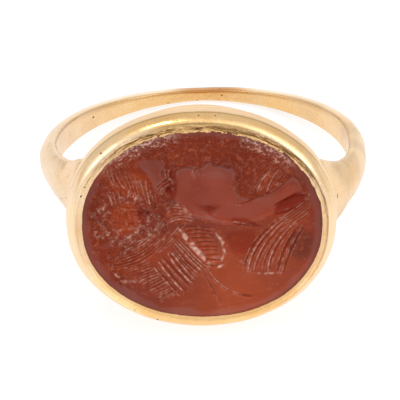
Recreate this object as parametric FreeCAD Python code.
import FreeCAD, Part
import math
import os

# Finger ring: a slender forged gold hoop with flared shoulders carries a closed oval bezel.
# The bezel holds an oval stone, cut in reverse relief, under a rubbed-over lip.
# The ring lies as it does on a table, on the bezel's lower edge and the back of the hoop.
# Lengths are in millimetres. While it is built, +X is the wearer's left to right across the
# bezel, the bezel looks along -Y, and +Z is the finger's axis. It is tilted to rest at the end.

# Driving sizes of the hoop
finger_bore_radius = 9.63
hoop_out_of_round = 0.24
hoop_back_thickness = 1.12
hoop_back_width = 0.74
shoulder_thickness = 2.3
shoulder_width = 6.4

# Driving sizes of the stone
stone_face_length = 15.3
stone_face_height = 13.2
stone_girdle_overhang = 0.42
stone_bevel_height = 1.1
stone_thickness = 1.9
stone_base_bevel = 0.3
stone_face_rise = 0.82

# Driving sizes of the bezel
lip_proud = 0.28
lip_crest_overhang = 0.5
lip_edge_height = 0.05
bezel_wall_overhang = 1.03
bezel_foot_overhang = 0.55
bezel_girth_setback = 1.2
bezel_sideways = -0.12
bezel_turn = -1.2
plate_edge_bevel = 0.18
setting_clearance = 0.02
bedding_thickness = 0.45
back_plate_thickness = 0.5
ledge_width = 1.2

# Driving sizes of the engraving
engraving_depth = 0.6
pocket_depth = 0.2
groove_depth = 0.24
groove_width = 0.3

# Even steps of the hoop from the middle of its back to its end, and of the search for its tilt
hoop_steps = 25
tilt_halvings = 16

# Levels of the bezel, measured from the hoop's centre towards its front
stone_face_reach = finger_bore_radius + stone_face_rise
stone_base_reach = stone_face_reach - stone_thickness
stone_girdle_reach = stone_face_reach - stone_bevel_height
plate_top_reach = stone_base_reach - bedding_thickness
plate_back_reach = plate_top_reach - back_plate_thickness
lip_top_reach = stone_face_reach + lip_proud
lip_edge_reach = stone_face_reach + lip_edge_height
bezel_girth_reach = stone_face_reach - bezel_girth_setback
ledge_inset = ledge_width - stone_girdle_overhang

# The oval is drawn with four arcs: the end arcs' radius as a share of the shorter half
oval_end_share = 0.86

# Angle from the back of the hoop in degrees, with the shares of the way from the back's
# width and thickness to the shoulder's that the hoop has there
hoop_station_shares = [
    (0.0, 0.0, 0.0),
    (25.0, 0.06, 0.0),
    (50.0, 0.15, 0.0),
    (75.0, 0.22, 0.0),
    (95.0, 0.28, 0.0),
    (108.0, 0.37, 0.0),
    (118.0, 0.48, 0.04),
    (127.0, 0.68, 0.2),
    (138.0, 0.9, 0.6),
    (150.0, 1.0, 1.0),
]

# Poles of the curve from the edge of the hoop's flat inside to its crown, as shares of its half
# width and its thickness
hoop_dome_shares = [(0.8, 0.0), (1.2, 0.0), (0.95, 1.0), (0.0, 1.0)]

# Pockets with an even floor: the outline of the bust's face, neck and shoulder, and that of the
# mask above it, as poles of a smooth closed curve, each share across and up the figure
bust_outline_shares = [
    (0.3, 0.26), (0.56, 0.24), (0.6, 0.17), (0.61, 0.1), (0.585, 0.055), (0.625, -0.01),
    (0.685, -0.07), (0.66, -0.105), (0.615, -0.11), (0.635, -0.14), (0.605, -0.16),
    (0.625, -0.185), (0.595, -0.21), (0.61, -0.25), (0.57, -0.285), (0.44, -0.29),
    (0.3, -0.31), (0.27, -0.42), (0.33, -0.56), (0.45, -0.68), (0.54, -0.75), (0.46, -0.84),
    (0.3, -0.86), (0.12, -0.66), (0.02, -0.45), (-0.03, -0.3), (0.0, -0.15), (0.05, 0.05), (0.14, 0.2),
]
mask_outline_shares = [
    (-0.2, 0.62), (-0.16, 0.76), (-0.02, 0.84), (0.14, 0.83), (0.24, 0.76), (0.33, 0.66),
    (0.3, 0.54), (0.2, 0.46), (0.12, 0.4), (0.0, 0.43), (-0.12, 0.5),
]

# Hollows cut with round wheels: place across and up the figure as shares of the stone's half
# height and half length, turn in degrees, length and width as shares of the stone's height,
# and depth as a share of the engraving's depth
hollow_shares = [
    (-0.22, 0.01, 52.0, 0.27, 0.15, 0.57),
    (0.2, -0.48, 68.0, 0.36, 0.13, 0.55),
    (-0.16, -0.36, 110.0, 0.22, 0.18, 0.5),
    (-0.1, -0.68, 142.0, 0.44, 0.2, 0.37),
    (0.06, 0.49, 0.0, 0.08, 0.08, 0.6),
]

# Rows of grooves cut with a sharp wheel: how many, then the two ends of the first groove and
# the two ends of the last, each as shares across and up the figure
groove_row_shares = [
    (6, (-0.84, 0.34), (-0.74, 0.21), (-0.48, 0.62), (-0.43, 0.4)),
    (5, (-0.79, 0.16), (-0.48, 0.38), (-0.5, 0.04), (-0.19, 0.2)),
    (5, (-0.48, 0.76), (-0.26, 0.36), (-0.22, 0.62), (0.08, 0.32)),
    (4, (-0.41, -0.02), (-0.4, -0.17), (-0.09, 0.17), (-0.06, -0.1)),
    (5, (0.16, 0.37), (0.44, 0.42), (0.38, 0.7), (0.56, 0.77)),
    (4, (0.32, -0.4), (0.58, -0.55), (0.36, -0.56), (0.56, -0.68)),
    (5, (-0.5, -0.36), (0.06, -0.66), (-0.52, -0.68), (-0.02, -0.86)),
    (3, (0.38, 0.33), (0.62, 0.3), (0.4, 0.2), (0.6, 0.2)),
    (2, (-0.47, -0.04), (-0.79, -0.43), (-0.47, -0.02), (-0.87, -0.19)),
]


def oval_arcs():
    """The centre, radius, middle direction and half span of the four arcs of the stone's face."""
    long_half = max(stone_face_length, stone_face_height) / 2
    short_half = min(stone_face_length, stone_face_height) / 2
    turn = 0 if stone_face_length > stone_face_height else 90
    end_radius = short_half * oval_end_share
    end_centre = long_half - end_radius
    side_radius = (end_centre ** 2 + short_half ** 2 - end_radius ** 2) / (2 * (short_half - end_radius))
    side_centre = side_radius - short_half
    end_span = math.degrees(math.atan2(side_centre, end_centre))
    arcs = []
    for direction in (0, 90, 180, 270):
        at_end = direction % 180 == 0
        away = math.radians(direction + turn)
        distance = end_centre if at_end else -side_centre
        centre = FreeCAD.Vector(distance * math.cos(away), 0, distance * math.sin(away))
        radius = end_radius if at_end else side_radius
        arcs.append((centre, radius, direction + turn, end_span if at_end else 90 - end_span))
    return arcs


def chain(segments, place):
    """Edges through (overhang, reach) points: two points make a line and three an arc."""
    edges = []
    for segment in segments:
        points = [place(*point) for point in segment]
        if len(points) == 2:
            edges.append(Part.LineSegment(*points).toShape())
        else:
            edges.append(Part.Arc(*points).toShape())
    return edges


def oval_ring(segments):
    """A closed outline of overhangs and reaches, carried round the stone's oval."""
    towards_front = FreeCAD.Vector(0, -1, 0)
    quarters = []
    for centre, radius, direction, span in oval_arcs():
        start = math.radians(direction - span)
        outward = FreeCAD.Vector(math.cos(start), 0, math.sin(start))
        edges = chain(
            segments,
            lambda overhang, reach: centre + outward * (radius + overhang) + towards_front * reach,
        )
        face = Part.Face(Part.Wire(edges))
        quarters.append(face.revolve(centre, towards_front, 2 * span))
    return quarters[0].fuse(quarters[1:]).removeSplitter()


def oval_prism(overhang, low_reach, high_reach):
    """A straight-sided oval block between two reaches."""
    arcs = []
    for centre, radius, direction, span in oval_arcs():
        middle = centre + FreeCAD.Vector(0, -low_reach, 0)
        ends = [math.radians(direction + side * span) for side in (-1, 0, 1)]
        points = [
            middle + FreeCAD.Vector(math.cos(end), 0, math.sin(end)) * (radius + overhang)
            for end in ends
        ]
        arcs.append(Part.Arc(*points).toShape())
    face = Part.Face(Part.Wire(arcs))
    return face.extrude(FreeCAD.Vector(0, low_reach - high_reach, 0))


def oval_body(segments):
    """A full oval solid with this side, whose outline runs from its back to its front."""
    core = -min(stone_face_length, stone_face_height) * oval_end_share / 4
    back = segments[0][0]
    front = segments[-1][-1]
    closing = [
        [front, (core, front[1])],
        [(core, front[1]), (core, back[1])],
        [(core, back[1]), back],
    ]
    body = oval_ring(segments + closing)
    return body.fuse(oval_prism(core, back[1], front[1])).removeSplitter()


def hoop_section(angle, width, thickness):
    """The hoop's D-shaped section at an angle from its back, flat inside and domed outside."""
    side = math.sin(math.radians(angle))
    back = math.cos(math.radians(angle))
    inside = finger_bore_radius + hoop_out_of_round * 2 * side * abs(back)

    def place(across, out):
        outward = inside + thickness * out
        return FreeCAD.Vector(outward * side, outward * back, width / 2 * across)

    top = [place(across, out) for across, out in hoop_dome_shares]
    under = [place(-across, out) for across, out in reversed(hoop_dome_shares)]
    edges = [Part.LineSegment(under[-1], top[0]).toShape()]
    for poles in (top, under):
        dome = Part.BezierCurve()
        dome.setPoles(poles)
        edges.append(dome.toShape())
    return Part.Wire(edges)


def hoop_shares(angle):
    """The shares of width and thickness at an angle, between the listed stations beside it."""
    before = [station for station in hoop_station_shares if station[0] <= angle][-1]
    after = [station for station in hoop_station_shares if station[0] >= angle][0]
    if before == after:
        return before[1:]
    along = (angle - before[0]) / (after[0] - before[0])
    return [low + (high - low) * along for low, high in zip(before[1:], after[1:])]


def hoop_blank():
    """The whole forged hoop, with ends that reach inside the bezel."""
    half = []
    for step in range(hoop_steps + 1):
        angle = hoop_station_shares[-1][0] * step / hoop_steps
        width_share, thickness_share = hoop_shares(angle)
        width = hoop_back_width + (shoulder_width - hoop_back_width) * width_share
        thickness = hoop_back_thickness
        thickness += (shoulder_thickness - hoop_back_thickness) * thickness_share
        half.append((angle, width, thickness))
    other_half = [(-angle, width, thickness) for angle, width, thickness in half[:0:-1]]
    sections = [hoop_section(*station) for station in other_half + half]
    return Part.makeLoft(sections, True, True)


def plate_side():
    """The back plate's side, from its bevelled back edge up to the wall."""
    bevel_top = (bezel_foot_overhang, plate_back_reach + plate_edge_bevel)
    return [
        [(bezel_foot_overhang - plate_edge_bevel, plate_back_reach), bevel_top],
        [bevel_top, (bezel_foot_overhang, plate_top_reach)],
    ]


def wall_side():
    """The wall's bulging side and its rolled lip, from the back plate to the lip's crest."""
    foot = (bezel_foot_overhang, plate_top_reach)
    girth = (bezel_wall_overhang, bezel_girth_reach)
    return [[foot, girth, (lip_crest_overhang, lip_top_reach)]]


def bezel_wall():
    """The strip that surrounds the stone, with its lip rubbed down over the stone's bevel."""
    side = wall_side()
    inner = [
        side[-1][-1],
        (0, lip_edge_reach),
        (0, stone_face_reach),
        (stone_girdle_overhang, stone_girdle_reach),
        (stone_girdle_overhang, plate_top_reach),
        side[0][0],
    ]
    return oval_ring(side + [list(pair) for pair in zip(inner, inner[1:])])


def bearing_ledge():
    """The inner strip that holds the stone's edge up from the back plate."""
    outside = stone_girdle_overhang - setting_clearance
    corners = [
        (-ledge_inset, plate_top_reach),
        (outside, plate_top_reach),
        (outside, stone_base_reach),
        (-ledge_inset, stone_base_reach),
    ]
    return oval_ring([[a, b] for a, b in zip(corners, corners[1:] + corners[:1])])


def stone_bedding():
    """The filling that backs the stone inside the ledge."""
    return oval_prism(-ledge_inset - setting_clearance, plate_top_reach, stone_base_reach)


def stone_blank():
    """The polished stone before it is engraved, widest at its girdle."""
    girdle = (stone_girdle_overhang - setting_clearance, stone_girdle_reach)
    return oval_body([
        [(-stone_base_bevel, stone_base_reach), girdle],
        [girdle, (-setting_clearance, stone_face_reach)],
    ])


def figure_point(across, up):
    """A point of the stone's face.

    The figure stands along the stone's length with its head towards -X, so across the
    figure is +Z and up the figure is -X."""
    return FreeCAD.Vector(
        -up * stone_face_length / 2, -stone_face_reach, across * stone_face_height / 2
    )


def pocket(outline_shares):
    """A shallow pocket with an even floor inside a smooth closed outline."""
    outline = Part.BSplineCurve()
    outline.buildFromPoles([figure_point(*place) for place in outline_shares], True, 2)
    mouth = Part.Face(Part.Wire(outline.toShape()))
    return mouth.extrude(FreeCAD.Vector(0, pocket_depth, 0))


def wheel_place(across, up, turn):
    """Where a wheel touches the stone's face, and how it is turned there."""
    centre = figure_point(across, up)
    along = FreeCAD.Vector(-math.sin(math.radians(turn)), 0, math.cos(math.radians(turn)))
    out = FreeCAD.Vector(0, -1, 0)
    return centre, FreeCAD.Rotation(along, out, along.cross(out), "ZXY")


def sink_wheel(wheel, wheel_radius, depth, place):
    """Sink a wheel, made with its axle along its own Z, to a depth in the stone's face."""
    centre, turned = place
    lifted = centre + FreeCAD.Vector(0, depth - wheel_radius, 0)
    wheel.Placement = FreeCAD.Placement(lifted, turned)
    return wheel


def round_wheel(place, length, width, depth):
    """A hollow as a ball or a fat round-edged wheel leaves it."""
    rim_radius = (width * width / 4 + depth * depth) / (2 * depth)
    wheel_radius = (length * length / 4 + depth * depth) / (2 * depth)
    if wheel_radius - rim_radius < rim_radius / 2:
        return sink_wheel(Part.makeSphere(rim_radius), rim_radius, depth, place)
    rim = Part.makeTorus(wheel_radius - rim_radius, rim_radius)
    return sink_wheel(rim, wheel_radius, depth, place)


def sharp_wheel(place, length):
    """A boat-shaped groove as a thin wheel with a V-shaped rim leaves it."""
    wheel_radius = (length * length / 4 + groove_depth * groove_depth) / (2 * groove_depth)
    cheek_radius = wheel_radius - groove_depth * 2
    corners = [
        FreeCAD.Vector(wheel_radius, 0, 0),
        FreeCAD.Vector(cheek_radius, 0, groove_width),
        FreeCAD.Vector(cheek_radius, 0, -groove_width),
        FreeCAD.Vector(wheel_radius, 0, 0),
    ]
    rim = Part.Face(Part.makePolygon(corners))
    wheel = rim.revolve(FreeCAD.Vector(0, 0, 0), FreeCAD.Vector(0, 0, 1), 360)
    return sink_wheel(wheel, wheel_radius, groove_depth, place)


def groove_row(count, first_start, first_end, last_start, last_end):
    """Grooves that change evenly from the first to the last of a row."""
    wheels = []
    for number in range(count):
        share = number / (count - 1)
        start = [a + (b - a) * share for a, b in zip(first_start, last_start)]
        end = [a + (b - a) * share for a, b in zip(first_end, last_end)]
        run_across = (end[0] - start[0]) * stone_face_height / 2
        run_up = (end[1] - start[1]) * stone_face_length / 2
        turn = math.degrees(math.atan2(run_up, run_across))
        place = wheel_place((start[0] + end[0]) / 2, (start[1] + end[1]) / 2, turn)
        wheels.append(sharp_wheel(place, math.hypot(run_across, run_up)))
    return wheels


def engraved_stone():
    """The oval stone with a draped bust cut into its face."""
    stone = stone_blank()
    for outline_shares in (bust_outline_shares, mask_outline_shares):
        stone = stone.cut(pocket(outline_shares))
    for across, up, turn, length, width, depth in hollow_shares:
        hollow = round_wheel(
            wheel_place(across, up, turn),
            length * stone_face_height,
            width * stone_face_height,
            depth * engraving_depth,
        )
        stone = stone.cut(hollow)
    for row in groove_row_shares:
        for wheel in groove_row(*row):
            stone = stone.cut(wheel)
    return stone


def lowest(shape, tilt):
    """The lowest level of a shape when the ring is tipped back by an angle in degrees."""
    tipped = shape.copy()
    tipped.rotate(FreeCAD.Vector(0, 0, 0), FreeCAD.Vector(1, 0, 0), -tilt)
    return tipped.optimalBoundingBox(False).ZMin


def rest_tilt(hoop, bezel):
    """The tilt at which the back of the hoop and the bezel both touch the table."""
    reach = finger_bore_radius + hoop_back_thickness
    corner = FreeCAD.Vector(-reach / 2, reach / 2, -shoulder_width)
    back = hoop.common(Part.makeBox(reach, reach, shoulder_width * 2, corner))
    low = 0.0
    high = 60.0
    for _ in range(tilt_halvings):
        middle = (low + high) / 2
        if lowest(bezel, middle) < lowest(back, middle):
            low = middle
        else:
            high = middle
    return (low + high) / 2


def seat_on_hoop(shape):
    """Turn a piece of the bezel, and set it over, as the hand-made bezel sits on its hoop."""
    shape.rotate(FreeCAD.Vector(0, 0, 0), FreeCAD.Vector(0, -1, 0), bezel_turn)
    shape.translate(FreeCAD.Vector(bezel_sideways, 0, 0))
    return shape


def build():
    """Make every piece, lay the ring down and write one file for each."""
    bezel = seat_on_hoop(oval_body(plate_side() + wall_side()))
    crown_reach = finger_bore_radius + hoop_out_of_round + shoulder_thickness
    in_front = seat_on_hoop(oval_prism(bezel_wall_overhang, bezel_girth_reach, crown_reach))
    hoop = hoop_blank()
    pieces = {
        "hoop": hoop.cut(bezel).cut(in_front),
        "back_plate": seat_on_hoop(oval_body(plate_side())),
        "bezel_wall": seat_on_hoop(bezel_wall()),
        "bearing_ledge": seat_on_hoop(bearing_ledge()),
        "stone_bedding": seat_on_hoop(stone_bedding()),
        "engraved_stone": seat_on_hoop(engraved_stone()),
    }
    tilt = rest_tilt(hoop, bezel)
    for shape in pieces.values():
        shape.rotate(FreeCAD.Vector(0, 0, 0), FreeCAD.Vector(1, 0, 0), -tilt)
    whole = Part.makeCompound(list(pieces.values())).optimalBoundingBox(False)
    shift = FreeCAD.Vector(
        -(whole.XMin + whole.XMax) / 2, -(whole.YMin + whole.YMax) / 2, -whole.ZMin
    )
    os.makedirs("parts", exist_ok=True)
    for name, shape in pieces.items():
        shape.translate(shift)
        shape.exportStep(f"parts/{name}.step")
        print(name, "solids", len(shape.Solids), "valid", shape.isValid(), "volume", round(shape.Volume, 2))
    print("rest tilt", round(tilt, 3), "degrees; hoop centre at", [round(v, 4) for v in shift])
    print("size", round(whole.XLength, 3), round(whole.YLength, 3), round(whole.ZLength, 3))


build()
